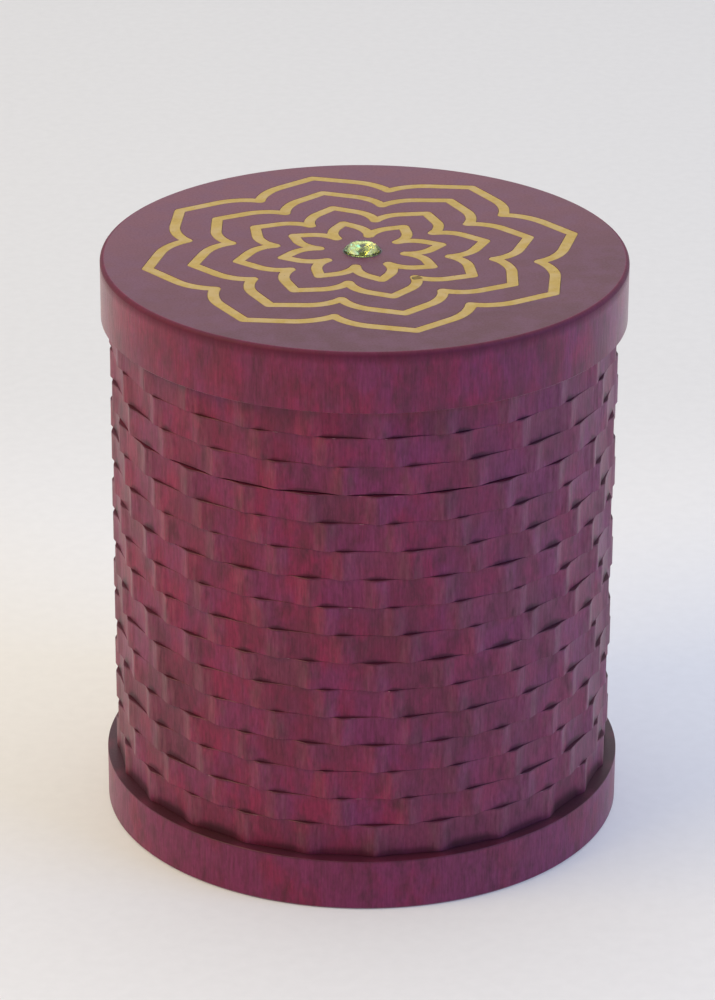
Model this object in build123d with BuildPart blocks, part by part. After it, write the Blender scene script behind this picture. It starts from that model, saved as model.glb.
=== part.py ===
from build123d import *

import os
from math import atan, cos, degrees, radians, sin

# Turned hardwood tea caddy with a lift-off lid, a fluted basket-weave wall,
# four nested flower inlays and a small cut crystal in the lid.
#
# Millimetres, +Z up. The origin is the centre of the foot, on the surface it stands on.
# Angles round the pot run from the front (-Y) towards +X.

# Overall turning
band_radius = 45.0
lid_top = 102.0
top_edge_round = 0.7
foot_radius = 45.3
foot_height = 9.25
foot_chamfer = 0.4
foot_rim_radius = 36.0
foot_relief = 1.0

# Basket weave: stacked courses of concave flutes, each course turned one index step
weave_top = 91.45
course_pitch = 5.09
course_count = 16
lid_courses = 3
flutes = 24
crest_radius = 43.7
flute_depth = 0.85
shoulder_depth = 0.68
shoulder_angle = 4.375
crest_angle = 3.0
index_step = 3.75
index_cycle = 3

# Joint between lid and body, hidden in the weave
joint_height = weave_top - lid_courses * course_pitch
joint_gap = 0.2
body_top = joint_height - joint_gap / 2
lid_bottom = joint_height + joint_gap / 2

# Tea chamber and the neck ring that centres the lid
chamber_radius = 37.0
chamber_floor = 9.0
floor_cove = 3.0
neck_radius = 39.6
neck_bottom = 69.6
neck_top = 86.4
neck_lead_in = 0.7
neck_inner_break = 0.4

# Hollow of the lid
socket_radius = neck_radius + 0.25
recess_radius = 36.5
recess_top = 95.0
recess_cove = 3.0

# Flower inlays, routed about a centre that lies a little off the turning centre
flower_centre = (-0.4, 1.15)
flower_angle = 13.8
petals = 8
first_tip_radius = 13.8
tip_spacing = 7.8
first_cusp_radius = 7.45
cusp_spacing = 7.63
first_straight = 2.6
straight_spacing = 1.65
tip_half_angles = (41.0, 52.5, 59.0, 63.0)
groove_width = 1.9
groove_depth = 1.5

# Cut crystal in its drilled seat
crystal_facets = 8
crystal_radius = 3.2
table_radius = 1.75
crown_height = 1.1
girdle_height = 0.2
culet_radius = 0.3
pavilion_depth = 2.5
seat_radius = 3.3
seat_shoulder = 0.3
seat_tip_radius = 0.6
seat_depth = 3.2


def rim_point(radius, angle):
    """Point on a circle, with the angle counted from -Y towards +X."""
    turn = radians(angle)
    return (radius * sin(turn), -radius * cos(turn))


def course_bottom(course):
    """Lower face of a course; the last one runs down to the foot."""
    if course == course_count - 1:
        return foot_height
    return weave_top - (course + 1) * course_pitch


def course_sketch(course, bottom):
    """Outline of one course: shallow flutes whose flanks rise to sharp crests."""
    pitch_angle = 360 / flutes
    first_middle = crest_angle + index_step * (course % index_cycle) + pitch_angle / 2
    shoulder_radius = crest_radius - shoulder_depth
    with BuildSketch(Plane.XY.offset(bottom)) as outline:
        with BuildLine():
            for flute in range(flutes):
                middle = first_middle + flute * pitch_angle
                near_shoulder = rim_point(shoulder_radius, middle - shoulder_angle)
                far_shoulder = rim_point(shoulder_radius, middle + shoulder_angle)
                Line(rim_point(crest_radius, middle - pitch_angle / 2), near_shoulder)
                ThreePointArc(near_shoulder, rim_point(crest_radius - flute_depth, middle), far_shoulder)
                Line(far_shoulder, rim_point(crest_radius, middle + pitch_angle / 2))
        make_face()
    return outline.sketch


def flower_sketch(ring):
    """Routed groove of one flower: a round-nosed line of constant width."""
    half_angle = radians(tip_half_angles[ring])
    cusp_angle = radians(180 / petals)
    tip_radius = first_tip_radius + ring * tip_spacing
    cusp_radius = first_cusp_radius + ring * cusp_spacing
    straight = first_straight + ring * straight_spacing
    flower_plane = Plane(
        origin=(*flower_centre, lid_top),
        x_dir=(cos(radians(flower_angle)), sin(radians(flower_angle)), 0),
    )
    with BuildSketch(flower_plane) as flower:
        with BuildLine():
            for petal in range(petals):
                turn = petal * 360 / petals
                for side in (1, -1):
                    run = Vector(-cos(half_angle), side * sin(half_angle)).rotate(Axis.Z, turn)
                    tip = Vector(tip_radius, 0).rotate(Axis.Z, turn)
                    cusp = Vector(cos(cusp_angle), side * sin(cusp_angle)).rotate(Axis.Z, turn) * cusp_radius
                    shoulder = tip + run * straight
                    Line(tip, shoulder)
                    TangentArc(shoulder, cusp, tangent=run)
        centre_face = make_face(mode=Mode.PRIVATE)
        offset(centre_face, amount=groove_width / 2, mode=Mode.ADD)
        offset(centre_face, amount=-groove_width / 2, mode=Mode.SUBTRACT)
    return flower.sketch


def save(piece, name):
    """Label a finished piece and write it as its own STEP file."""
    piece.part.label = name
    export_step(piece.part, f"parts/{name}.step")


os.makedirs("parts", exist_ok=True)

# Body: foot, fluted wall and floor turned from one blank
with BuildPart() as body:
    with BuildSketch(Plane.XY):
        Circle(foot_radius)
    extrude(amount=foot_height)
    chamfer(body.edges().filter_by(GeomType.CIRCLE).sort_by(Axis.Z)[0], foot_chamfer)
    for course in range(lid_courses, course_count):
        bottom = course_bottom(course)
        top = body_top if course == lid_courses else course_bottom(course - 1)
        extrude(course_sketch(course, bottom), amount=top - bottom)
    with BuildSketch(Plane.XZ):
        with BuildLine():
            Polyline(
                (0, chamber_floor),
                (chamber_radius, chamber_floor),
                (chamber_radius, neck_bottom),
                (neck_radius, neck_bottom),
                (neck_radius, lid_bottom),
                (0, lid_bottom),
                close=True,
            )
        chamber = make_face()
        fillet(chamber.vertices().group_by(Axis.Y)[0].sort_by(Axis.X)[-1], floor_cove)
    revolve(axis=Axis.Z, mode=Mode.SUBTRACT)
    with BuildSketch(Plane.XY):
        Circle(foot_rim_radius)
    extrude(amount=foot_relief, mode=Mode.SUBTRACT)
save(body, "body")

# Neck ring: glued into the body's rebate, it stands up into the lid
with BuildPart() as neck_ring:
    with BuildSketch(Plane.XY.offset(neck_bottom)):
        Circle(neck_radius)
        Circle(chamber_radius, mode=Mode.SUBTRACT)
    extrude(amount=neck_top - neck_bottom)
    top_edges = neck_ring.edges().group_by(Axis.Z)[-1].sort_by(SortBy.RADIUS)
    chamfer(top_edges[-1], neck_lead_in)
    chamfer(top_edges[0], neck_inner_break)
save(neck_ring, "neck_ring")

# Crystal: table, crown, girdle and pavilion
facet_flat = cos(radians(180 / crystal_facets))
crown_taper = degrees(atan((crystal_radius - table_radius) * facet_flat / crown_height))
pavilion_taper = degrees(atan((crystal_radius - culet_radius) * facet_flat / pavilion_depth))
with BuildPart() as crystal:
    with BuildSketch(Plane((*flower_centre, lid_top))):
        RegularPolygon(crystal_radius, crystal_facets)
    extrude(amount=girdle_height)
    extrude(crystal.faces().sort_by(Axis.Z)[-1], amount=crown_height, taper=crown_taper)
    extrude(crystal.faces().sort_by(Axis.Z)[0], amount=pavilion_depth, taper=pavilion_taper)
save(crystal, "crystal")

# Adhesive: fills the drilled seat round the crystal's pavilion
with BuildPart() as crystal_seat:
    with BuildSketch(Plane((*flower_centre, lid_top), x_dir=(1, 0, 0), z_dir=(0, -1, 0))):
        with BuildLine():
            Polyline(
                (0, 0),
                (seat_radius, 0),
                (seat_radius, -seat_shoulder),
                (seat_tip_radius, -seat_depth),
                (0, -seat_depth),
                close=True,
            )
        make_face()
    revolve(axis=Axis((*flower_centre, 0), (0, 0, 1)))
with BuildPart() as crystal_adhesive:
    add(crystal_seat.part)
    add(crystal.part, mode=Mode.SUBTRACT)
save(crystal_adhesive, "crystal_adhesive")

# Inlays: one flower to a groove, flush with the lid
flower_sketches = [flower_sketch(ring) for ring in range(len(tip_half_angles))]
for number, sketch in enumerate(flower_sketches, start=1):
    with BuildPart() as inlay:
        extrude(sketch, amount=-groove_depth)
    save(inlay, f"inlay_flower_{number}")

# Lid: top, plain band and the first courses of the weave, hollowed underneath
with BuildPart() as lid:
    with BuildSketch(Plane.XY.offset(weave_top)):
        Circle(band_radius)
    extrude(amount=lid_top - weave_top)
    fillet(lid.edges().filter_by(GeomType.CIRCLE).sort_by(Axis.Z)[-1], top_edge_round)
    for course in range(lid_courses):
        bottom = lid_bottom if course == lid_courses - 1 else course_bottom(course)
        top = weave_top - course * course_pitch
        extrude(course_sketch(course, bottom), amount=top - bottom)
    with BuildSketch(Plane.XZ):
        with BuildLine():
            Polyline(
                (0, body_top),
                (socket_radius, body_top),
                (socket_radius, neck_top),
                (recess_radius, neck_top),
                (recess_radius, recess_top),
                (0, recess_top),
                close=True,
            )
        recess = make_face()
        fillet(recess.vertices().group_by(Axis.Y)[-1].sort_by(Axis.X)[-1], recess_cove)
    revolve(axis=Axis.Z, mode=Mode.SUBTRACT)
    for sketch in flower_sketches:
        extrude(sketch, amount=-groove_depth, mode=Mode.SUBTRACT)
    add(crystal_seat.part, mode=Mode.SUBTRACT)
save(lid, "lid")
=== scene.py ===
"""Looks of the turned tea caddy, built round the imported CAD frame."""

import math

import bmesh
import bpy
import numpy as np
from mathutils import Matrix, Vector, geometry, noise


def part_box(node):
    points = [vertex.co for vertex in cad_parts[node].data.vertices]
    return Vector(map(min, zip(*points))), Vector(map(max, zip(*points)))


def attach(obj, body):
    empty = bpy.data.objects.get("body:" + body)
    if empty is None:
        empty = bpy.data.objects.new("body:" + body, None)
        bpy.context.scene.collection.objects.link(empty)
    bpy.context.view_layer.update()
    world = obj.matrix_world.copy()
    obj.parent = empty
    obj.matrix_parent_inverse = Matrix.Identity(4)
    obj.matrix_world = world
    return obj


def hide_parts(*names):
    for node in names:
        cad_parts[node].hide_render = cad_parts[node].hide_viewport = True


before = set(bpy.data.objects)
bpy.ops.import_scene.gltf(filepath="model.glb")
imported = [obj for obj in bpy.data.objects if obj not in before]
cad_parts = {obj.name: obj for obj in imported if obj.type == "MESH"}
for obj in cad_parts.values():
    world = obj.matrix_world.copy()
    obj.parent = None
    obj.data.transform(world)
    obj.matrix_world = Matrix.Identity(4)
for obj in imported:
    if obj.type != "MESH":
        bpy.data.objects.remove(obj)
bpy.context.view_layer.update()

MM = 0.001


def box_radius(node):
    """Half the width of a CAD node."""
    low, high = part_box(node)
    return (high[0] - low[0]) / 2


# Sizes read from the frame, in metres
FOOT_RADIUS = box_radius("body")
BAND_RADIUS = box_radius("lid")
BODY_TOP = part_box("body")[1][2]
LID_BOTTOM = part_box("lid")[0][2]
LID_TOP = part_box("lid")[1][2]
NECK_RADIUS = box_radius("neck_ring")
NECK_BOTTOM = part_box("neck_ring")[0][2]
NECK_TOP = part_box("neck_ring")[1][2]
CRYSTAL_LOW, CRYSTAL_HIGH = (Vector(corner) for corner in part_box("crystal"))
CRYSTAL_RADIUS = box_radius("crystal")
FLOWER_CENTRE = ((CRYSTAL_LOW + CRYSTAL_HIGH) / 2).to_2d()
FLOWERS = [f"inlay_flower_{number}" for number in range(1, 5)]

# Turning, as in the CAD
TOP_ROUND = 0.7 * MM
FOOT_HEIGHT = 9.25 * MM
FOOT_CHAMFER = 0.4 * MM
FOOT_RIM_RADIUS = 36.0 * MM
FOOT_RELIEF = 1.0 * MM
CHAMBER_RADIUS = 37.0 * MM
CHAMBER_FLOOR = 9.0 * MM
COVE = 3.0 * MM
SOCKET_RADIUS = NECK_RADIUS + 0.25 * MM
RECESS_RADIUS = 36.5 * MM
RECESS_TOP = 95.0 * MM

# Weave, as in the CAD
WEAVE_TOP = 91.45 * MM
COURSE_PITCH = 5.09 * MM
COURSES = 16
LID_COURSES = 3
FLUTES = 24
CREST_RADIUS = 43.7 * MM
FLUTE_DEPTH = 0.85 * MM
SHOULDER_DEPTH = 0.68 * MM
SHOULDER_ANGLE = 4.375
CREST_ANGLE = 3.0
INDEX_STEP = 3.75
INDEX_CYCLE = 3

# Where the joint's flat faces meet the weave, inside its deepest flute
JOINT_INNER = CREST_RADIUS - 1.3 * MM

# Columns of vertices round the pot: enough for one on every crest and every crossing of the weave
COLUMNS = 576

# Weave, beyond the CAD: broken arrises, flutes of uneven depth with scooped faces, wavy ledges
EDGE_BREAK = 0.06 * MM
CREST_BREAK = 0.05 * MM
SCOOP = 0.16
LEDGE_LIFT = 0.01 * MM
EDGE_WAVER = 0.08 * MM
DEPTH_SPREAD = 0.19

# Tone of the foot's outside: violet and a little brighter than the weave
FOOT_TONE = -2.5

# Dark residue and painted shade at a course's lower end: on the ledge, and fading up the faces as (share of
# reach, strength)
LEDGE_RESIDUE_AND_SHADE = 0.9
RESIDUE_AND_SHADE_FADE = ((1.0, 0.0), (0.75, 0.4), (0.45, 0.95), (0.15, 1.0))

# Painted shade on the lid's rim, dark crimson for the dark room reflected in the round: its strength on the
# round, and below it as (distance from the top, strength)
ROUND_SHADE = 0.75
BAND_TOP_SHADE = ((1.3 * MM, 0.5), (2.2 * MM, 0.0))

# Flower inlays, as in the CAD
PETALS = 8
FLOWER_ANGLE = math.radians(13.8)
GROOVE_HALF = 0.95 * MM
GROOVE_DEPTH = 1.5 * MM
FIRST_CUSP = 7.45 * MM
CUSP_SPACING = 7.63 * MM
FIRST_STRAIGHT = 2.6 * MM
STRAIGHT_SPACING = 1.65 * MM
TIP_HALF_ANGLES = (41.0, 52.5, 59.0, 63.0)

# Flower inlays, beyond the CAD: glue line, broken edge, waviness and the void in the second flower
GLUE_LINE = 0.06 * MM
INLAY_BREAK = 0.05 * MM
LINE_WANDER = 0.07 * MM
PIT_FLOWER = 1
PIT_POLAR = (15.5 * MM, math.radians(-54.0))
PIT_RADIUS = 0.95 * MM
PIT_DEPTH = 0.25 * MM

# Drilled seat of the stone, as in the CAD
SEAT_RADIUS = 3.3 * MM
SEAT_SHOULDER = 0.3 * MM
SEAT_TIP_RADIUS = 0.6 * MM
SEAT_DEPTH = 3.2 * MM

# Corners of the circles that the seat and the adhesive in it are made of
SEAT_CORNERS = 64

# Cut of the stone: widths as shares of its radius, the knee's height as a share of the pavilion's depth
STONE_RADIUS = CRYSTAL_RADIUS * 0.985
TABLE_SHARE = 0.60
CROWN_SHARE = 0.85
KNEE_SHARE = 0.30
KNEE_RISE = 0.27
GIRDLE_LOW = LID_TOP + 0.02 * MM
GIRDLE_HIGH = LID_TOP + 0.38 * MM
CULET = CRYSTAL_LOW.z
KNEE = CULET + KNEE_RISE * (GIRDLE_LOW - CULET)

# Viewpoint
CAMERA_TARGET = Vector((-1.0, 0.0, 56.05)) * MM
CAMERA_DISTANCE = 748.4 * MM
CAMERA_PITCH = math.radians(24.156)
CAMERA_ROLL = math.radians(0.304)
CAMERA_LENS = 154.55

# Where the paper turns from floor tone to background tone, in metres behind the caddy
PAPER_BEND = (0.08, 0.20)

# Room round the caddy: its colour in front and behind, and where, by direction along Y, one becomes the other
ROOM_FRONT = (0.31, 0.30, 0.32)
ROOM_BACK = (0.76, 0.77, 0.80)
ROOM_BEND = (-0.45, 0.25)

# Point that the panels of light are aimed at
LIGHT_TARGET = Vector((0, 0, 50)) * MM

# Vertices closer than the first become one, and edges shorter than the second are dissolved, in metres
WELD_DISTANCE = 2e-6
SHORTEST_EDGE = 1e-7

# Surface marks carried by the turned meshes: tone of a cut, worn arris with painted glint, dark residue with
# painted shade, torn grain with painted sheen, painted shade on the lid's rim
MARKS = ("tone", "worn_and_glint", "grime_and_shade", "tearout_and_sheen", "rim_shade")

random_numbers = np.random.default_rng(7)


# ---------------------------------------------------------------- meshes

def smooth_noise(count, waves, seed):
    """Closed smooth noise round the pot: count samples between -1 and 1, about `waves` features."""
    values = np.zeros(count)
    for column in range(count):
        turn = 2 * math.pi * column / count
        place = Vector((math.cos(turn), math.sin(turn), 0)) * waves / (2 * math.pi)
        values[column] = noise.noise(place + Vector((0, 0, seed * 7.3)))
    return values


def column_angles():
    """Angles of the columns from -Y towards +X; every crest and every crossing falls on a column."""
    return np.radians(CREST_ANGLE + np.arange(COLUMNS) * 360 / COLUMNS)


def row(radius, height, tone=0, worn_and_glint=0, grime_and_shade=0, tearout_and_sheen=0, rim_shade=0):
    """One row of vertices: radius, height and surface marks for every column."""
    return [np.broadcast_to(value, COLUMNS) for value in (radius, height, tone, worn_and_glint, grime_and_shade, tearout_and_sheen, rim_shade)]


def flute_row(course):
    """Radii of one course: a broad arc in each flute, straight flanks up to the crests, uneven depths."""
    hair = 1e-6
    half = math.pi / FLUTES
    shoulder_turn = math.radians(SHOULDER_ANGLE)
    shoulder = (CREST_RADIUS - SHOULDER_DEPTH) * np.array([math.sin(shoulder_turn), math.cos(shoulder_turn)])
    crest = CREST_RADIUS * np.array([math.sin(half), math.cos(half)])
    valley = CREST_RADIUS - FLUTE_DEPTH
    reach = (shoulder @ shoulder - valley**2) / (2 * (shoulder[1] - valley))
    offset = math.radians(INDEX_STEP * (course % INDEX_CYCLE))
    turn = np.arange(COLUMNS) * 2 * math.pi / COLUMNS - offset
    flute = np.floor(turn / (2 * half) + hair).astype(int)
    across = np.abs(turn - (flute + 0.5) * 2 * half)
    side = crest - shoulder
    flank = (shoulder[0] * side[1] - shoulder[1] * side[0]) / (
        np.sin(across) * side[1] - np.cos(across) * side[0]
    )
    floor = reach * np.cos(across) - np.sqrt((reach - valley) ** 2 - (reach * np.sin(across)) ** 2)
    radius = np.where(across > shoulder_turn, flank, floor)
    radius = np.where(across > half - hair, radius - CREST_BREAK, radius)
    depth = 1 + DEPTH_SPREAD * np.clip(random_numbers.standard_normal(FLUTES), -2, 1.5)
    tone = random_numbers.standard_normal(FLUTES)
    # Flanks of torn grain, paler toward the left and right as painted sheen
    tearout_and_sheen = np.clip((across - shoulder_turn) / math.radians(1.2), 0, 1) * (0.55 + 0.45 * SIDE_FACING)
    return CREST_RADIUS - (CREST_RADIUS - radius) * depth[flute % FLUTES], tone[flute % FLUTES], tearout_and_sheen


# How far a column faces left or right: 1 at the left and right, 0 at the front and back; it strengthens the
# painted sheen on the flanks and the painted shade at the ledges there
SIDE_FACING = np.sin(column_angles()) ** 2
FLUTE_ROWS = [flute_row(course) for course in range(COURSES)]
WAVERS = [
    EDGE_WAVER * (smooth_noise(COLUMNS, 40, 60 + course) + 0.4 * smooth_noise(COLUMNS, 170, 80 + course))
    for course in range(COURSES + 1)
]


def edge_wear(seed):
    """How far an arris is broken along its length: mostly crisp, with a few nibbled places."""
    nibbles = np.clip(smooth_noise(COLUMNS, 110, seed), 0, 1) ** 2
    return EDGE_BREAK * (1 + 2.5 * nibbles)


def residue_and_shade(course, radius):
    """Dark deposit and painted shade at the lower end of a course: how strong they are and how far up the
    faces they reach.
    """
    if course == COURSES - 1:
        # At the foot residue and painted shade fill the hollows, with gaps toward the front and the back
        hollow = np.clip((CREST_RADIUS - radius) / FLUTE_DEPTH, 0, 1)
        patchy = np.clip(0.8 + 0.9 * smooth_noise(COLUMNS, 26, 140) + 1.2 * SIDE_FACING, 0.4, 1)
        grime_and_shade = 0.15 + 0.85 * np.clip(1.25 * hollow, 0, 1) * patchy
        return grime_and_shade, (0.4 + 2.1 * hollow * patchy) * MM
    # Elsewhere residue and painted shade gather where the ledge below stands out, patchily, and less at the
    # front and the back
    ledge = np.clip((FLUTE_ROWS[course + 1][0] - radius) / (0.7 * MM), 0, 1)
    patchiness = np.clip(0.8 + 1.1 * smooth_noise(COLUMNS, 34, 100 + course), 0.15, 1)
    grime_and_shade = np.clip(1.3 * ledge, 0, 1) * patchiness * (0.7 + 0.3 * SIDE_FACING)
    return grime_and_shade, (0.2 + (0.45 + 1.05 * SIDE_FACING) * ledge * patchiness) * MM


def weave_rows(first, last, top, bottom):
    """Rows of the courses from first to last, from the top down, with broken arrises at each ledge."""
    rows = []
    for course in range(first, last):
        radius, tone, tearout_and_sheen = FLUTE_ROWS[course]
        high = top if course == first else WEAVE_TOP - course * COURSE_PITCH + WAVERS[course]
        low = bottom if course == last - 1 else WEAVE_TOP - (course + 1) * COURSE_PITCH + WAVERS[course + 1]
        upper = edge_wear(2 * course)
        lower = edge_wear(2 * course + 1)
        grime_and_shade, reach = residue_and_shade(course, radius)
        above = FLUTE_ROWS[course - 1][0] if course else BAND_RADIUS
        # Painted shade along a course's top arris where it stands out beyond the course above
        rim = 0.6 * np.clip((radius - above) / (0.5 * MM), 0, 1)
        middle = (high + low) / 2
        half = (high - low) / 2

        def scooped(height):
            """Radii at a height: a flute is cut deepest halfway up its course."""
            return CREST_RADIUS - (CREST_RADIUS - radius) * (1 - SCOOP * ((height - middle) / half) ** 2)

        rows.append(row(scooped(high) - upper, high - LEDGE_LIFT, tone=tone, worn_and_glint=1, grime_and_shade=rim))
        rows.append(row(scooped(high), high - upper, tone=tone, worn_and_glint=1, grime_and_shade=rim))
        rows.append(row(scooped(high - 0.4 * MM), high - 0.4 * MM, tone=tone, tearout_and_sheen=tearout_and_sheen))
        for share in (0.5, 0.0):
            rows.append(row(scooped(middle + share * half), middle + share * half, tone=tone, tearout_and_sheen=tearout_and_sheen))
        # Residue and painted shade fade up the faces from the lower end, strongest in the ledge's inner
        # corner
        for share, strength in RESIDUE_AND_SHADE_FADE:
            height = low + lower + share * reach
            rows.append(row(scooped(height), height, tone=tone, grime_and_shade=strength * grime_and_shade, tearout_and_sheen=tearout_and_sheen))
        rows.append(row(scooped(low), low + lower, tone=tone, grime_and_shade=grime_and_shade))
        rows.append(row(scooped(low) - lower, low + LEDGE_LIFT, tone=tone, grime_and_shade=LEDGE_RESIDUE_AND_SHADE))
    if last == COURSES:
        # Residue and painted shade on the foot's ledge
        rows.append(row(FOOT_RADIUS - EDGE_BREAK, FOOT_HEIGHT, grime_and_shade=0.25 + 0.6 * grime_and_shade))
    return rows


def arc_rows(centre_radius, centre_height, radius, start, end, steps, rim_shade=0):
    """Rows along a turned cove or round, angles in degrees in the radius-height plane."""
    rows = []
    for step in range(steps + 1):
        turn = math.radians(start + (end - start) * step / steps)
        place = (centre_radius + radius * math.cos(turn), centre_height + radius * math.sin(turn))
        rows.append(row(*place, rim_shade=rim_shade if step else 0))
    return rows


def ring_rows(*points):
    """Rows of constant radius and height from (radius, height) pairs."""
    return [row(radius, height) for radius, height in points]


def add_rows(bm, rows):
    """Adds the rows to a mesh as vertices joined by quads and returns the first and last row."""
    angles = column_angles()
    layers = [bm.verts.layers.float.new(name) for name in MARKS]
    made = []
    for radius, height, *marks in rows:
        places = zip(radius * np.sin(angles), -radius * np.cos(angles), height)
        made.append([bm.verts.new(place) for place in places])
        for layer, values in zip(layers, marks):
            for vert, value in zip(made[-1], values):
                vert[layer] = value
    for above, below in zip(made, made[1:]):
        for column in range(COLUMNS):
            following = (column + 1) % COLUMNS
            bm.faces.new((above[column], above[following], below[following], below[column]))
    return made[0], made[-1]


def close_row(bm, verts, height):
    """Closes a row of vertices with a fan to a point on the axis."""
    pole = bm.verts.new((0, 0, height))
    for column, vert in enumerate(verts):
        bm.faces.new((vert, verts[(column + 1) % len(verts)], pole))


def finish_mesh(bm, name, materials, choose=None, sharp=30):
    """Turns a bmesh into a smooth-shaded object with sharp arrises and its materials."""
    bmesh.ops.remove_doubles(bm, verts=bm.verts, dist=WELD_DISTANCE)
    bmesh.ops.dissolve_degenerate(bm, edges=bm.edges, dist=SHORTEST_EDGE)
    bmesh.ops.recalc_face_normals(bm, faces=bm.faces)
    bm.normal_update()
    for face in bm.faces:
        face.smooth = True
        face.material_index = choose(face) if choose else 0
    for edge in bm.edges:
        if len(edge.link_faces) == 2 and edge.calc_face_angle() > math.radians(sharp):
            edge.smooth = False
    mesh = bpy.data.meshes.new(name)
    bm.to_mesh(mesh)
    bm.free()
    piece = bpy.data.objects.new(name, mesh)
    bpy.context.scene.collection.objects.link(piece)
    for material in materials:
        mesh.materials.append(material)
    return piece


# ---------------------------------------------------------------- flowers

def polar(radius, angle):
    """Point at a radius and an angle, on the plane of the lid."""
    return Vector((math.cos(angle), math.sin(angle))) * radius


def arc_points(centre, radius, start, end, steps):
    """Points along an arc, both ends included."""
    return [centre + polar(radius, start + (end - start) * step / steps) for step in range(steps + 1)]


def tip_radius_of(ring):
    """Radius of the petal tips, from the width of the CAD inlay."""
    return (box_radius(FLOWERS[ring]) - GROOVE_HALF) / math.cos(FLOWER_ANGLE)


def half_petal(ring, half_width):
    """Outer and inner edge of half a petal, from its tip to its cusp, about the petal's own axis."""
    half_angle = math.radians(TIP_HALF_ANGLES[ring])
    tip = Vector((tip_radius_of(ring), 0))
    cusp_ray = polar(1, math.pi / PETALS)
    cusp = cusp_ray * (FIRST_CUSP + ring * CUSP_SPACING)
    shoulder = tip + Vector((-math.cos(half_angle), math.sin(half_angle))) * (
        FIRST_STRAIGHT + ring * STRAIGHT_SPACING
    )
    out = Vector((math.sin(half_angle), math.cos(half_angle)))
    chord = cusp - shoulder
    bend = -chord.length_squared / (2 * chord.dot(out))
    centre = shoulder - out * bend
    start = math.pi / 2 - half_angle

    along = cusp_ray.dot(centre)
    notch = cusp_ray * (
        along + math.sqrt((bend + half_width) ** 2 - centre.length_squared + along**2)
    )
    notch_turn = math.atan2(*(notch - centre).yx)
    outer = arc_points(tip, half_width, 0, start, 5)
    outer += arc_points(centre, bend + half_width, start, notch_turn, 10)

    cusp_turn = math.atan2(*(cusp - centre).yx)
    inner = [tip - Vector((half_width / math.sin(half_angle), 0))]
    inner += arc_points(centre, bend - half_width, start, cusp_turn, 10)
    inner += arc_points(cusp, half_width, cusp_turn + math.pi, math.pi + math.pi / PETALS, 5)[1:]
    return outer, inner


def wander(point):
    """Slight hand-made waviness of the routed lines."""
    place = Vector((point.x, point.y, 0)) / (3.5 * MM)
    drift = Vector((noise.noise(place), noise.noise(place + Vector((0, 0, 9.3)))))
    return point + drift * LINE_WANDER


def whole_loop(half):
    """Repeats half a petal's edge, mirrored and turned, into the closed outline on the lid."""
    loop = []
    mirrored = [Vector((point.x, -point.y)) for point in reversed(half)]
    for petal in range(PETALS):
        turn = Matrix.Rotation(FLOWER_ANGLE + petal * 2 * math.pi / PETALS, 2)
        for point in mirrored[:-1] + half[:-1]:
            loop.append(wander(turn @ point + FLOWER_CENTRE))
    return loop


def flower_loops(ring, half_width):
    """Outer and inner outline of one flower's line."""
    outer, inner = half_petal(ring, half_width)
    return whole_loop(outer), whole_loop(inner)


def round_loop(centre, radius, count):
    """Points of a circle."""
    return [centre + polar(radius, 2 * math.pi * step / count) for step in range(count)]


def inside(loop, points):
    """Even-odd test of many points against one closed loop."""
    corners = np.array([tuple(point) for point in loop])
    following = np.roll(corners, -1, axis=0)
    hits = np.zeros(len(points), dtype=bool)
    for (x0, y0), (x1, y1) in zip(corners, following):
        crosses = (y0 > points[:, 1]) != (y1 > points[:, 1])
        if y1 != y0:
            hits ^= crosses & (points[:, 0] < (x1 - x0) * (points[:, 1] - y0) / (y1 - y0) + x0)
    return hits


def pit_loop(scale, crown):
    """Ragged outline of the small void: each spoke is cut short where it would leave the flower's crown."""
    corners = 24
    middle = FLOWER_CENTRE + polar(*PIT_POLAR)
    shares = np.linspace(1.0, 0.1, 19)
    loop = []
    for corner in range(corners):
        turn = 2 * math.pi * corner / corners
        ragged = 1 + 0.45 * noise.noise(Vector((math.cos(turn), math.sin(turn), 3.0)) * 1.3)
        spoke = polar(PIT_RADIUS * scale * ragged, turn)
        places = np.array([tuple(middle + spoke * share) for share in shares])
        clear = inside(crown[0], places) & ~inside(crown[1], places)
        loop.append(middle + spoke * (shares[np.argmax(clear)] - 0.08))
    return loop


def triangulate(loops):
    """Constrained triangulation of the plane between closed loops: points, triangles and their centres."""
    points, edges = [], []
    for loop in loops:
        first = len(points)
        count = len(loop)
        points += loop
        edges += [(first + step, first + (step + 1) % count) for step in range(count)]
    flat, _, found, *_ = geometry.delaunay_2d_cdt(points, edges, [], 0, 1e-9)
    # Each triangle starts at its lowest corner and all are sorted, so that the mesh has one fixed order
    starts = [face.index(min(face)) for face in found]
    faces = sorted(face[start:] + face[:start] for face, start in zip(found, starts))
    centres = np.array([np.mean([flat[index] for index in face], axis=0) for face in faces])
    return flat, faces, centres


def add_flat(bm, flat, faces, keep, height):
    """Adds the kept triangles as a flat face at one height."""
    verts = {}
    for face, kept in zip(faces, keep):
        if kept:
            for index in face:
                if index not in verts:
                    verts[index] = bm.verts.new((flat[index].x, flat[index].y, height))
            bm.faces.new([verts[index] for index in face])


def add_wall(bm, upper, lower, high, low):
    """Adds the wall between two loops with the same number of points."""
    above = [bm.verts.new((point.x, point.y, high)) for point in upper]
    below = [bm.verts.new((point.x, point.y, low)) for point in lower]
    count = len(upper)
    for step in range(count):
        following = (step + 1) % count
        bm.faces.new((above[step], above[following], below[following], below[step]))


def lathe(bm, profile, count):
    """Adds the walls turned round the flowers' centre by (radius, height) pairs; returns their circles."""
    rings = [round_loop(FLOWER_CENTRE, radius, count) for radius, _ in profile]
    for step in range(len(profile) - 1):
        add_wall(bm, rings[step], rings[step + 1], profile[step][1], profile[step + 1][1])
    return rings


# ---------------------------------------------------------------- materials

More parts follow.
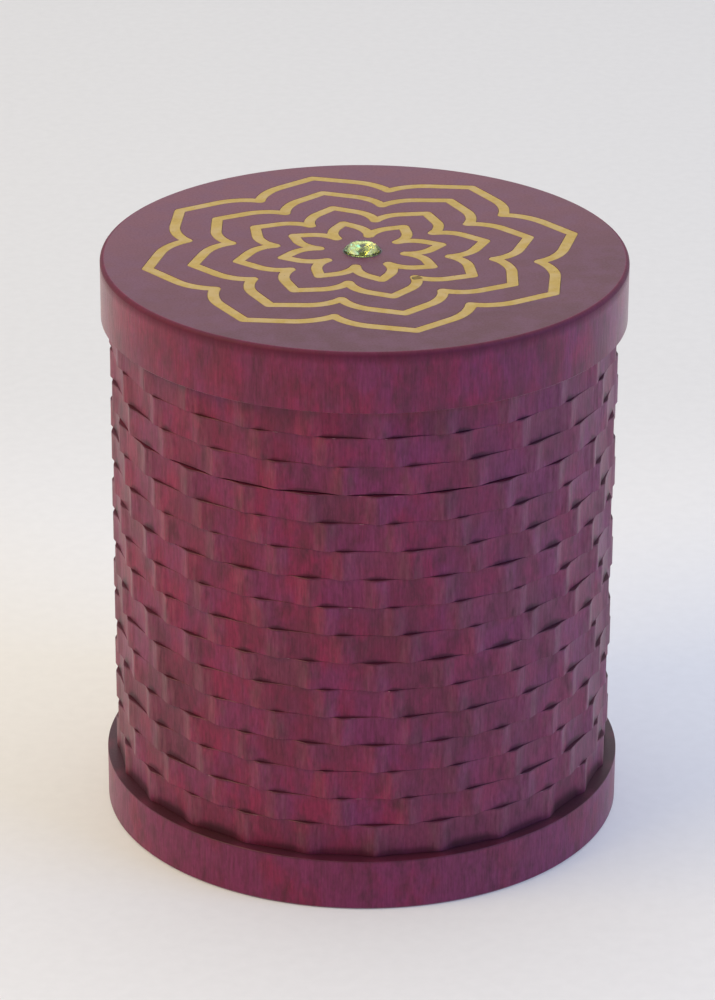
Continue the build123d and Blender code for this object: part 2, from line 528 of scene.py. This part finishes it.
def new_material(name):
    """A material with an empty node tree and a Principled shader wired to its output."""
    material = bpy.data.materials.new(name)
    material.use_nodes = True
    tree = material.node_tree
    tree.nodes.clear()
    output = tree.nodes.new("ShaderNodeOutputMaterial")
    shader = tree.nodes.new("ShaderNodeBsdfPrincipled")
    tree.links.new(shader.outputs["BSDF"], output.inputs["Surface"])
    return material, tree, shader


def stretched_noise(tree, scale, detail=3.0, roughness=0.5, turn=0.0, seed=0.0):
    """Noise in object space with its own scale, in features per metre, on each axis."""
    coordinates = tree.nodes.new("ShaderNodeTexCoord")
    mapping = tree.nodes.new("ShaderNodeMapping")
    mapping.inputs["Location"].default_value = (seed, seed * 0.7, seed * 1.3)
    mapping.inputs["Scale"].default_value = scale
    texture = tree.nodes.new("ShaderNodeTexNoise")
    texture.inputs["Scale"].default_value = 1.0
    texture.inputs["Detail"].default_value = detail
    texture.inputs["Roughness"].default_value = roughness
    turned = tree.nodes.new("ShaderNodeVectorRotate")
    turned.rotation_type = "Z_AXIS"
    turned.inputs["Angle"].default_value = turn
    tree.links.new(coordinates.outputs["Object"], turned.inputs["Vector"])
    tree.links.new(turned.outputs["Vector"], mapping.inputs["Vector"])
    tree.links.new(mapping.outputs["Vector"], texture.inputs["Vector"])
    return texture.outputs["Fac"]


def ramp(tree, value, stops):
    """Colour ramp from (position, colour or grey) stops."""
    node = tree.nodes.new("ShaderNodeValToRGB")
    elements = node.color_ramp.elements
    while len(elements) < len(stops):
        elements.new(0.5)
    for element, (position, colour) in zip(elements, stops):
        element.position = position
        grey = isinstance(colour, (int, float))
        element.color = (colour, colour, colour, 1) if grey else (*colour, 1)
    tree.links.new(value, node.inputs["Fac"])
    return node.outputs["Color"]


def mix(tree, factor, first, second):
    """Mixes two colours; each input is a socket or a plain value."""
    node = tree.nodes.new("ShaderNodeMix")
    node.data_type = "RGBA"
    # Of the node's sockets these are the factor and the two colours
    sockets = [node.inputs[index] for index in (0, 6, 7)]
    for socket, value in zip(sockets, (factor, first, second)):
        if isinstance(value, bpy.types.NodeSocket):
            tree.links.new(value, socket)
        elif isinstance(value, (int, float)):
            socket.default_value = value
        else:
            socket.default_value = (*value, 1)
    return node.outputs[2]


def bump(tree, shader, height, strength, distance):
    """Fine relief of a surface."""
    node = tree.nodes.new("ShaderNodeBump")
    node.inputs["Strength"].default_value = strength
    node.inputs["Distance"].default_value = distance
    tree.links.new(height, node.inputs["Height"])
    tree.links.new(node.outputs["Normal"], shader.inputs["Normal"])


def mark(tree, name):
    """Value of a surface mark stored on the mesh."""
    node = tree.nodes.new("ShaderNodeAttribute")
    node.attribute_name = name
    return node.outputs["Fac"]


def arithmetic(tree, operation, first, second):
    """One math node; each input is a socket or a plain number."""
    node = tree.nodes.new("ShaderNodeMath")
    node.operation = operation
    for socket, value in zip(node.inputs, (first, second)):
        if isinstance(value, bpy.types.NodeSocket):
            tree.links.new(value, socket)
        else:
            socket.default_value = value
    return node.outputs["Value"]


def ranged(tree, vector, axis, low, high, interpolation="LINEAR"):
    """One component of a vector, mapped from low and high to 0 and 1."""
    place = tree.nodes.new("ShaderNodeSeparateXYZ")
    across = tree.nodes.new("ShaderNodeMapRange")
    across.interpolation_type = interpolation
    across.inputs["From Min"].default_value = low
    across.inputs["From Max"].default_value = high
    tree.links.new(vector, place.inputs["Vector"])
    tree.links.new(place.outputs[axis], across.inputs["Value"])
    return across.outputs["Result"]


def along_axis(tree, axis, turn=0.0):
    """How far across the blank a point lies along one axis, from 0 to 1."""
    coordinates = tree.nodes.new("ShaderNodeTexCoord")
    turned = tree.nodes.new("ShaderNodeVectorRotate")
    turned.rotation_type = "Z_AXIS"
    turned.inputs["Angle"].default_value = turn
    tree.links.new(coordinates.outputs["Object"], turned.inputs["Vector"])
    return ranged(tree, turned.outputs["Vector"], axis, -BAND_RADIUS, BAND_RADIUS)


def side_grain(name, sheen, smooth, rough, x_side_grey):
    """Oiled purpleheart along the grain: crimson, violet and plum blotches under fine upright fibres."""
    material, tree, shader = new_material(name)
    blotches = stretched_noise(tree, (150, 150, 85), detail=4, roughness=0.6, seed=3.1)
    clouds = stretched_noise(tree, (110, 110, 60), detail=4, roughness=0.65, seed=12.0)
    patches = stretched_noise(tree, (430, 430, 190), detail=3, roughness=0.6, seed=21.0)
    streaks = stretched_noise(tree, (850, 850, 90), detail=4, roughness=0.65, seed=8.4)
    fibres = stretched_noise(tree, (3000, 3000, 260), detail=4, roughness=0.7, seed=1.7)
    tears = stretched_noise(tree, (1300, 1300, 230), detail=3, roughness=0.6, seed=17.0)
    mottle = stretched_noise(tree, (2100, 2100, 900), detail=3, roughness=0.6, seed=27.0)
    flecks = stretched_noise(tree, (520, 520, 900), detail=2, seed=5.5)

    crimson = (0.250, 0.0090, 0.061)
    violet = (0.212, 0.0175, 0.092)
    plum = (0.125, 0.0115, 0.040)
    greyed = (0.190, 0.041, 0.094)
    shadow = (0.075, 0.0095, 0.024)
    dark = (0.042, 0.0035, 0.012)
    residue_shade_colour = (0.040, 0.0015, 0.011)
    rim_shade_colour = (0.082, 0.0010, 0.021)
    pale = (0.430, 0.235, 0.250)
    cut = mark(tree, "tone")
    tone = arithmetic(tree, "MULTIPLY", cut, 0.040)
    colour = ramp(tree, arithmetic(tree, "ADD", blotches, tone), [(0.40, violet), (0.57, crimson)])
    shade = arithmetic(tree, "SUBTRACT", clouds, tone)
    colour = mix(tree, ramp(tree, shade, [(0.36, 0.70), (0.56, 0.0)]), colour, plum)
    greyed_cut = ramp(tree, arithmetic(tree, "MULTIPLY", cut, 0.6), [(0.4, 0.0), (0.9, 0.35)])
    colour = mix(tree, greyed_cut, colour, greyed)
    # Greyer toward the +X side, most about two thirds of the way out, less at the edge
    x_side_greying = ramp(tree, along_axis(tree, "X"), [(0.55, 0.0), (0.80, x_side_grey), (1.0, 0.2 * x_side_grey)])
    colour = mix(tree, x_side_greying, colour, greyed)
    colour = mix(tree, ramp(tree, patches, [(0.29, 0.65), (0.50, 0.0)]), colour, shadow)
    colour = mix(tree, ramp(tree, streaks, [(0.30, 0.50), (0.52, 0.0)]), colour, plum)
    colour = mix(tree, ramp(tree, fibres, [(0.30, 0.36), (0.53, 0.0)]), colour, dark)
    colour = mix(tree, ramp(tree, fibres, [(0.54, 0.0), (0.78, 0.07)]), colour, pale)
    colour = mix(tree, ramp(tree, mottle, [(0.34, 0.24), (0.54, 0.0)]), colour, dark)
    # Pale torn grain on the flanks, partly painted sheen, stronger toward the left and right
    tearout_and_sheen = arithmetic(tree, "MULTIPLY", ramp(tree, tears, [(0.42, 0.03), (0.68, 0.17)]), mark(tree, "tearout_and_sheen"))
    colour = mix(tree, tearout_and_sheen, colour, pale)
    smoky = arithmetic(tree, "MULTIPLY", ramp(tree, tears, [(0.32, 0.60), (0.46, 0.0)]), mark(tree, "tearout_and_sheen"))
    colour = mix(tree, smoky, colour, shadow)
    # Pale specks on worn arrises: frayed fibres, partly painted glint
    glint_specks = ramp(tree, flecks, [(0.66, 0.0), (0.70, 0.9)])
    arris = ramp(tree, mark(tree, "worn_and_glint"), [(0.70, 0.0), (0.95, 1.0)])
    colour = mix(tree, arithmetic(tree, "MULTIPLY", glint_specks, arris), colour, pale)
    # Residue and painted shade above the ledges and in the foot's hollows
    residue_shade_mask = arithmetic(tree, "MULTIPLY", ramp(tree, streaks, [(0.2, 0.75), (0.7, 1.0)]), mark(tree, "grime_and_shade"))
    colour = mix(tree, residue_shade_mask, colour, residue_shade_colour)
    # Painted shade on the lid's rim, for the dark room reflected in the round
    colour = mix(tree, mark(tree, "rim_shade"), colour, rim_shade_colour)
    tree.links.new(colour, shader.inputs["Base Color"])
    roughness = ramp(tree, fibres, [(0.3, rough), (0.7, smooth)])
    roughness = mix(tree, mark(tree, "rim_shade"), roughness, (0.75, 0.75, 0.75))
    tree.links.new(roughness, shader.inputs["Roughness"])
    shader.inputs["IOR"].default_value = 1.42
    shader.inputs["Sheen Weight"].default_value = sheen
    shader.inputs["Sheen Roughness"].default_value = 0.32
    shader.inputs["Sheen Tint"].default_value = (1.0, 0.88, 0.86, 1)
    bump(tree, shader, fibres, strength=0.5, distance=0.06 * MM)
    return material


def end_grain(name, base, deep, contrast):
    """Purpleheart across the grain: fine pores, faint slanting ring bands, and painted light, lighter toward
    the back-left.
    """
    material, tree, shader = new_material(name)
    speckle = stretched_noise(tree, (2600, 2600, 2600), detail=2, roughness=0.6, seed=2.2)
    bands = stretched_noise(tree, (70, 300, 60), detail=3, turn=math.radians(-28), seed=6.1)
    clouds = stretched_noise(tree, (60, 60, 60), detail=2, seed=15.0)
    tints = stretched_noise(tree, (230, 230, 230), detail=4, roughness=0.6, seed=24.0)
    tint = (0.85 * base[0], 0.95 * base[1], 1.25 * base[2])
    residue_shade_colour = (0.036, 0.0035, 0.012)
    growth_and_painted_light = mix(tree, 0.5, bands, clouds)
    # Painted light: lighter toward the back-left, darker toward the front-right
    growth_and_painted_light = mix(tree, 0.55, growth_and_painted_light, along_axis(tree, "Y", turn=math.radians(-22)))
    colour = ramp(tree, growth_and_painted_light, [(0.28, deep), (0.72, base)])
    colour = mix(tree, ramp(tree, tints, [(0.42, 0.0), (0.62, 0.55)]), colour, tint)
    colour = mix(tree, ramp(tree, speckle, [(0.32, contrast), (0.48, 0.0)]), colour, deep)
    # Residue and painted shade in the inner corners of the ledges
    colour = mix(tree, mark(tree, "grime_and_shade"), colour, residue_shade_colour)
    tree.links.new(colour, shader.inputs["Base Color"])
    rough = ramp(tree, speckle, [(0.3, 0.5), (0.7, 0.4)])
    tree.links.new(rough, shader.inputs["Roughness"])
    bump(tree, shader, speckle, strength=0.35, distance=0.04 * MM)
    return material


def gold_filler():
    """Gold-tan inlay, sanded flush: powdery mottling and a few dark pinholes."""
    material, tree, shader = new_material("gold_inlay")
    mottle = stretched_noise(tree, (900, 900, 900), detail=4, roughness=0.65, seed=4.0)
    clouds = stretched_noise(tree, (120, 120, 120), detail=2, seed=9.0)
    pinholes = stretched_noise(tree, (1900, 1900, 1900), detail=1, seed=14.0)
    blush = stretched_noise(tree, (420, 420, 420), detail=3, seed=19.0)
    tan = (0.415, 0.270, 0.038)
    pale = (0.490, 0.345, 0.080)
    deep = (0.35, 0.22, 0.035)
    powdery = (0.49, 0.35, 0.145)
    brown = (0.12, 0.06, 0.02)
    colour = ramp(tree, mottle, [(0.35, tan), (0.7, pale)])
    colour = mix(tree, ramp(tree, clouds, [(0.3, 0.35), (0.55, 0.0)]), colour, deep)
    colour = mix(tree, ramp(tree, blush, [(0.44, 0.0), (0.64, 0.65)]), colour, powdery)
    colour = mix(tree, ramp(tree, pinholes, [(0.2, 0.8), (0.26, 0.0)]), colour, brown)
    tree.links.new(colour, shader.inputs["Base Color"])
    shader.inputs["Roughness"].default_value = 0.5
    bump(tree, shader, mottle, strength=0.3, distance=0.05 * MM)
    return material


def stone():
    """Clear yellow-green stone."""
    material, tree, shader = new_material("crystal")
    tint = stretched_noise(tree, (300, 300, 300), detail=0, seed=1.0)
    colour = ramp(tree, tint, [(0.3, (0.76, 0.92, 0.50)), (0.7, (0.90, 0.93, 0.46))])
    tree.links.new(colour, shader.inputs["Base Color"])
    shader.inputs["Roughness"].default_value = 0.02
    shader.inputs["IOR"].default_value = 1.56
    shader.inputs["Transmission Weight"].default_value = 1.0
    return material


def foil():
    """Silver-green foil on the back of the stone."""
    material, tree, shader = new_material("crystal_foil")
    patchy = stretched_noise(tree, (700, 700, 700), detail=2, seed=3.0)
    colour = ramp(tree, patchy, [(0.35, (0.24, 0.26, 0.12)), (0.58, (0.84, 0.85, 0.50))])
    tree.links.new(colour, shader.inputs["Base Color"])
    shader.inputs["Metallic"].default_value = 1.0
    shader.inputs["Roughness"].default_value = 0.18
    return material


def cured_glue():
    """Dark translucent adhesive round the stone."""
    material, tree, shader = new_material("adhesive")
    cloudy = stretched_noise(tree, (900, 900, 900), detail=2, seed=7.0)
    colour = ramp(tree, cloudy, [(0.3, (0.020, 0.022, 0.012)), (0.7, (0.045, 0.050, 0.022))])
    tree.links.new(colour, shader.inputs["Base Color"])
    shader.inputs["Roughness"].default_value = 0.18
    return material


def void_filler():
    """Brown binder left in the void of an inlay."""
    material, tree, shader = new_material("void_filler")
    mottle = stretched_noise(tree, (1500, 1500, 1500), detail=2, seed=4.0)
    colour = ramp(tree, mottle, [(0.3, (0.11, 0.062, 0.012)), (0.7, (0.27, 0.175, 0.035))])
    tree.links.new(colour, shader.inputs["Base Color"])
    shader.inputs["Roughness"].default_value = 0.45
    return material


BAND = side_grain("purpleheart_band", sheen=0.52, smooth=0.32, rough=0.44, x_side_grey=0.0)
SIDE = side_grain("purpleheart_side", sheen=0.17, smooth=0.38, rough=0.52, x_side_grey=0.40)
LEDGE = end_grain("purpleheart_ledge", (0.230, 0.028, 0.070), (0.150, 0.019, 0.046), 0.4)
TOP = end_grain("purpleheart_top", (0.158, 0.042, 0.070), (0.094, 0.0195, 0.037), 0.35)
WOOD = [BAND, SIDE, LEDGE, TOP]
GOLD = gold_filler()
VOID = void_filler()


def wood_of(face):
    """Index into WOOD: band, side grain, end grain of the weave's ledges, end grain elsewhere."""
    place = face.calc_center_median()
    on_round = LID_TOP - TOP_ROUND < place.z and face.normal.z < 0.995
    if abs(face.normal.z) < 0.75 or on_round:
        return 0 if WEAVE_TOP < place.z < LID_TOP - TOP_ROUND else 1
    on_weave = FOOT_HEIGHT - 0.1 * MM < place.z < WEAVE_TOP + 0.2 * MM
    return 2 if on_weave and place.to_2d().length > JOINT_INNER - 0.1 * MM else 3


# ---------------------------------------------------------------- pieces

def make_body():
    """Foot, wall and floor as one closed turning."""
    rows = arc_rows(CHAMBER_RADIUS - COVE, CHAMBER_FLOOR + COVE, COVE, -90, 0, 8)
    rows += ring_rows(
        (CHAMBER_RADIUS, NECK_BOTTOM),
        (NECK_RADIUS, NECK_BOTTOM),
        (NECK_RADIUS, BODY_TOP - EDGE_BREAK),
        (NECK_RADIUS + EDGE_BREAK, BODY_TOP),
        (JOINT_INNER, BODY_TOP),
    )
    rows += weave_rows(LID_COURSES, COURSES, BODY_TOP, FOOT_HEIGHT)
    # Painted shade on the foot's broken top arris
    rows.append(row(FOOT_RADIUS, FOOT_HEIGHT - EDGE_BREAK, tone=FOOT_TONE, grime_and_shade=0.6))
    rows.append(row(FOOT_RADIUS, FOOT_HEIGHT - 0.4 * MM, tone=FOOT_TONE))
    rows.append(row(FOOT_RADIUS, FOOT_CHAMFER, tone=FOOT_TONE))
    rows += ring_rows(
        (FOOT_RADIUS - FOOT_CHAMFER, 0),
        (FOOT_RIM_RADIUS, 0),
        (FOOT_RIM_RADIUS, FOOT_RELIEF),
    )
    bm = bmesh.new()
    first, last = add_rows(bm, rows)
    close_row(bm, first, CHAMBER_FLOOR)
    close_row(bm, last, FOOT_RELIEF)
    piece = finish_mesh(bm, "turned_body", WOOD, wood_of)
    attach(piece, "caddy")
    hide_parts("body")


def make_neck():
    """Collar that centres the lid."""
    lead_in = 0.7 * MM
    inner_break = 0.4 * MM
    rows = ring_rows(
        (CHAMBER_RADIUS, NECK_BOTTOM),
        (CHAMBER_RADIUS, NECK_TOP - inner_break),
        (CHAMBER_RADIUS + inner_break, NECK_TOP),
        (NECK_RADIUS - lead_in, NECK_TOP),
        (NECK_RADIUS, NECK_TOP - lead_in),
        (NECK_RADIUS, NECK_BOTTOM),
        (CHAMBER_RADIUS, NECK_BOTTOM),
    )
    bm = bmesh.new()
    add_rows(bm, rows)
    piece = finish_mesh(bm, "neck_collar", WOOD, wood_of)
    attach(piece, "caddy")
    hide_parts("neck_ring")


def make_lid():
    """Lid turning with its routed grooves and the drilled seat."""
    flat_radius = BAND_RADIUS - TOP_ROUND
    rows = ring_rows((flat_radius - 0.4 * MM, LID_TOP))
    # The round and the top of the band carry the painted rim shade
    rows += arc_rows(flat_radius, LID_TOP - TOP_ROUND, TOP_ROUND, 90, 0, 6, rim_shade=ROUND_SHADE)
    rows += [row(BAND_RADIUS, LID_TOP - depth, rim_shade=strength) for depth, strength in BAND_TOP_SHADE]
    rows += ring_rows((BAND_RADIUS, WEAVE_TOP + EDGE_BREAK), (BAND_RADIUS - EDGE_BREAK, WEAVE_TOP))
    rows += weave_rows(0, LID_COURSES, WEAVE_TOP, LID_BOTTOM)
    rows += ring_rows(
        (JOINT_INNER, LID_BOTTOM),
        (SOCKET_RADIUS + EDGE_BREAK, LID_BOTTOM),
        (SOCKET_RADIUS, LID_BOTTOM + EDGE_BREAK),
        (SOCKET_RADIUS, NECK_TOP),
        (RECESS_RADIUS, NECK_TOP),
    )
    rows += arc_rows(RECESS_RADIUS - COVE, RECESS_TOP - COVE, COVE, 0, 90, 8)
    bm = bmesh.new()
    first, last = add_rows(bm, rows)
    close_row(bm, last, RECESS_TOP)

    rim = [vert.co.to_2d() for vert in first]
    grooves = [flower_loops(ring, GROOVE_HALF + GLUE_LINE) for ring in range(len(FLOWERS))]
    seat = round_loop(FLOWER_CENTRE, SEAT_RADIUS, SEAT_CORNERS)
    loops = [rim] + [loop for pair in grooves for loop in pair] + [seat]
    flat, faces, centres = triangulate(loops)
    sunk = inside(seat, centres)
    for outer, inner in grooves:
        groove = inside(outer, centres) & ~inside(inner, centres)
        add_flat(bm, flat, faces, groove, LID_TOP - GROOVE_DEPTH)
        for loop in (outer, inner):
            add_wall(bm, loop, loop, LID_TOP, LID_TOP - GROOVE_DEPTH)
        sunk |= groove
    add_flat(bm, flat, faces, ~sunk & inside(rim, centres), LID_TOP)
    add_seat(bm)
    piece = finish_mesh(bm, "turned_lid", WOOD, wood_of)
    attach(piece, "cover")
    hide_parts("lid")


def add_seat(bm):
    """Adds the drilled seat's wall, cone and bottom."""
    bottom = LID_TOP - SEAT_DEPTH
    shoulder = LID_TOP - SEAT_SHOULDER
    profile = [(SEAT_RADIUS, LID_TOP), (SEAT_RADIUS, shoulder), (SEAT_TIP_RADIUS, bottom)]
    rings = lathe(bm, profile, SEAT_CORNERS)
    bm.faces.new([bm.verts.new((point.x, point.y, bottom)) for point in rings[-1]])


def make_inlay(ring):
    """One flower of filler: flush top with a broken edge, walls and floor, and in one flower a small void."""
    crown = flower_loops(ring, GROOVE_HALF - INLAY_BREAK)
    shoulder = flower_loops(ring, GROOVE_HALF)
    top = LID_TOP
    side = LID_TOP - INLAY_BREAK
    floor = LID_TOP - GROOVE_DEPTH + GLUE_LINE
    pit_floor = LID_TOP - PIT_DEPTH
    bm = bmesh.new()
    pits = [pit_loop(1.0, crown)] if ring == PIT_FLOWER else []
    flat, faces, centres = triangulate([*crown, *pits])
    kept = inside(crown[0], centres) & ~inside(crown[1], centres)
    for pit in pits:
        kept &= ~inside(pit, centres)
    add_flat(bm, flat, faces, kept, top)
    for upper, lower in zip(crown, shoulder):
        add_wall(bm, upper, lower, top, side)
        add_wall(bm, lower, lower, side, floor)
    flat, faces, centres = triangulate(shoulder)
    add_flat(bm, flat, faces, inside(shoulder[0], centres) & ~inside(shoulder[1], centres), floor)
    for pit in pits:
        bottom = pit_loop(0.55, crown)
        add_wall(bm, pit, bottom, top, pit_floor)
        flat, faces, centres = triangulate([bottom])
        add_flat(bm, flat, faces, inside(bottom, centres), pit_floor)

    def filler_of(face):
        """Index of the filler: gold, or brown on the void's wall and floor."""
        place = face.calc_center_median()
        near_pit = (place.to_2d() - FLOWER_CENTRE - polar(*PIT_POLAR)).length < 1.4 * PIT_RADIUS
        below_top = pit_floor - INLAY_BREAK < place.z < side - 0.01 * MM
        return 1 if pits and near_pit and below_top else 0

    piece = finish_mesh(bm, f"gold_flower_{ring + 1}", [GOLD, VOID], filler_of)
    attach(piece, "cover")
    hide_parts(FLOWERS[ring])


def facet_ring(count, distance, height, phase):
    """Corners of the stone at one height."""
    turns = [phase + 2 * math.pi * step / count for step in range(count)]
    return [(*(FLOWER_CENTRE + polar(distance, turn)), height) for turn in turns]


def make_stone():
    """Brilliant-cut stone: table, crown, girdle, and a pavilion with a knee."""
    top = CRYSTAL_HIGH.z
    half_step = math.pi / 8
    points = facet_ring(8, TABLE_SHARE * STONE_RADIUS, top, half_step)
    points += facet_ring(8, CROWN_SHARE * STONE_RADIUS, (GIRDLE_HIGH + top) / 2, 0)
    points += facet_ring(16, STONE_RADIUS, GIRDLE_HIGH, 0)
    points += facet_ring(16, STONE_RADIUS, GIRDLE_LOW, 0)
    points += facet_ring(8, KNEE_SHARE * STONE_RADIUS, KNEE, half_step)
    points += [(*FLOWER_CENTRE, CULET)]
    bm = bmesh.new()
    verts = [bm.verts.new(point) for point in points]
    bmesh.ops.convex_hull(bm, input=verts)
    piece = finish_mesh(bm, "cut_stone", [stone()], sharp=1)
    for polygon in piece.data.polygons:
        polygon.use_smooth = False
    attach(piece, "cover")
    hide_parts("crystal")


def make_foil():
    """Foil cone close behind the stone's pavilion."""
    gap = 0.03 * MM
    bm = bmesh.new()
    lathe(bm, [
        (STONE_RADIUS, GIRDLE_LOW - gap),
        (KNEE_SHARE * STONE_RADIUS, KNEE - gap),
        (0.02 * STONE_RADIUS, CULET - gap),
    ], 16)
    piece = finish_mesh(bm, "stone_foil", [foil()], sharp=1)
    thickness = piece.modifiers.new("thickness", "SOLIDIFY")
    thickness.thickness = 0.04 * MM
    thickness.offset = 1.0
    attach(piece, "cover")


def make_glue():
    """Cup of adhesive that fills the seat round the stone's pavilion."""
    slack = 0.02 * MM
    profile = [
        (SEAT_TIP_RADIUS - slack, LID_TOP - SEAT_DEPTH + slack),
        (SEAT_RADIUS - slack, LID_TOP - SEAT_SHOULDER),
        (SEAT_RADIUS - slack, LID_TOP),
        (SEAT_RADIUS + 0.05 * MM, LID_TOP + 0.01 * MM),
        (STONE_RADIUS + slack, LID_TOP + 0.10 * MM),
        (STONE_RADIUS + slack, GIRDLE_LOW - 0.08 * MM),
        (KNEE_SHARE * STONE_RADIUS + slack, KNEE - 0.10 * MM),
        (0.05 * STONE_RADIUS, CULET - 0.12 * MM),
    ]
    bm = bmesh.new()
    rings = lathe(bm, profile, SEAT_CORNERS)
    for loop, (_, height) in ((rings[0], profile[0]), (rings[-1], profile[-1])):
        bm.faces.new([bm.verts.new((point.x, point.y, height)) for point in loop])
    piece = finish_mesh(bm, "glue_bed", [cured_glue()])
    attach(piece, "cover")
    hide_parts("crystal_adhesive")


# ---------------------------------------------------------------- camera, floor and light

def make_camera():
    """Camera at the photograph's viewing angle."""
    data = bpy.data.cameras.new("camera")
    data.lens = CAMERA_LENS
    data.sensor_width = 36
    data.clip_start = 0.05
    data.clip_end = 20
    camera = bpy.data.objects.new("camera", data)
    bpy.context.scene.collection.objects.link(camera)
    back = Vector((0, -math.cos(CAMERA_PITCH), math.sin(CAMERA_PITCH)))
    aim = (-back).to_track_quat("-Z", "Y").to_matrix().to_4x4()
    roll = Matrix.Rotation(CAMERA_ROLL, 4, "Z")
    camera.matrix_world = Matrix.Translation(CAMERA_TARGET + back * CAMERA_DISTANCE) @ aim @ roll
    bpy.context.scene.camera = camera


def make_floor():
    """Pale paper, a touch greyer behind the caddy."""
    bm = bmesh.new()
    bmesh.ops.create_grid(bm, x_segments=8, y_segments=8, size=4.0)
    material, tree, shader = new_material("paper")
    coordinates = tree.nodes.new("ShaderNodeTexCoord")
    backwards = ranged(tree, coordinates.outputs["Object"], "Y", *PAPER_BEND, interpolation="SMOOTHSTEP")
    fibre = stretched_noise(tree, (400, 400, 400), detail=2)
    near = ramp(tree, fibre, [(0.3, 0.59), (0.7, 0.61)])
    far = ramp(tree, fibre, [(0.3, 0.515), (0.7, 0.535)])
    tree.links.new(mix(tree, backwards, near, far), shader.inputs["Base Color"])
    shader.inputs["Emission Color"].default_value = (0.99, 0.98, 1.0, 1)
    shader.inputs["Emission Strength"].default_value = 0.205
    shader.inputs["Roughness"].default_value = 0.8
    shader.inputs["Specular IOR Level"].default_value = 0.2
    floor = finish_mesh(bm, "floor", [material])
    floor.location.z = -0.01 * MM


def area_light(name, place, size, power, colour):
    """Soft panel of light aimed at the middle of the caddy."""
    data = bpy.data.lights.new(name, "AREA")
    data.shape = "RECTANGLE"
    data.size, data.size_y = size
    data.energy = power
    data.color = colour
    light = bpy.data.objects.new(name, data)
    bpy.context.scene.collection.objects.link(light)
    light.location = place
    light.rotation_euler = (LIGHT_TARGET - Vector(place)).to_track_quat("-Z", "Y").to_euler()


def make_lights():
    """Warm light from the left, cool light from the right, a panel overhead, a room darker in front."""
    area_light("overhead", place=(0, 0.3, 1.1), size=(1.4, 1.0), power=3.3, colour=(1.0, 1.0, 1.0))
    area_light("left", place=(-0.76, -0.35, 0.91), size=(0.7, 0.6), power=7.3, colour=(1.0, 0.75, 0.27))
    area_light("right", place=(0.95, -0.41, 0.65), size=(0.7, 0.6), power=7.1, colour=(0.13, 0.36, 0.92))
    world = bpy.data.worlds.new("studio")
    bpy.context.scene.world = world
    world.use_nodes = True
    tree = world.node_tree
    direction = tree.nodes.new("ShaderNodeTexCoord")
    backwards = ranged(tree, direction.outputs["Generated"], "Y", *ROOM_BEND, interpolation="SMOOTHSTEP")
    sky = mix(tree, backwards, ROOM_FRONT, ROOM_BACK)
    tree.links.new(sky, tree.nodes["Background"].inputs["Color"])


make_camera()
make_body()
make_neck()
make_lid()
for flower in range(len(FLOWERS)):
    make_inlay(flower)
make_stone()
make_foil()
make_glue()
make_floor()
make_lights()

bpy.context.scene.view_settings.view_transform = "Standard"
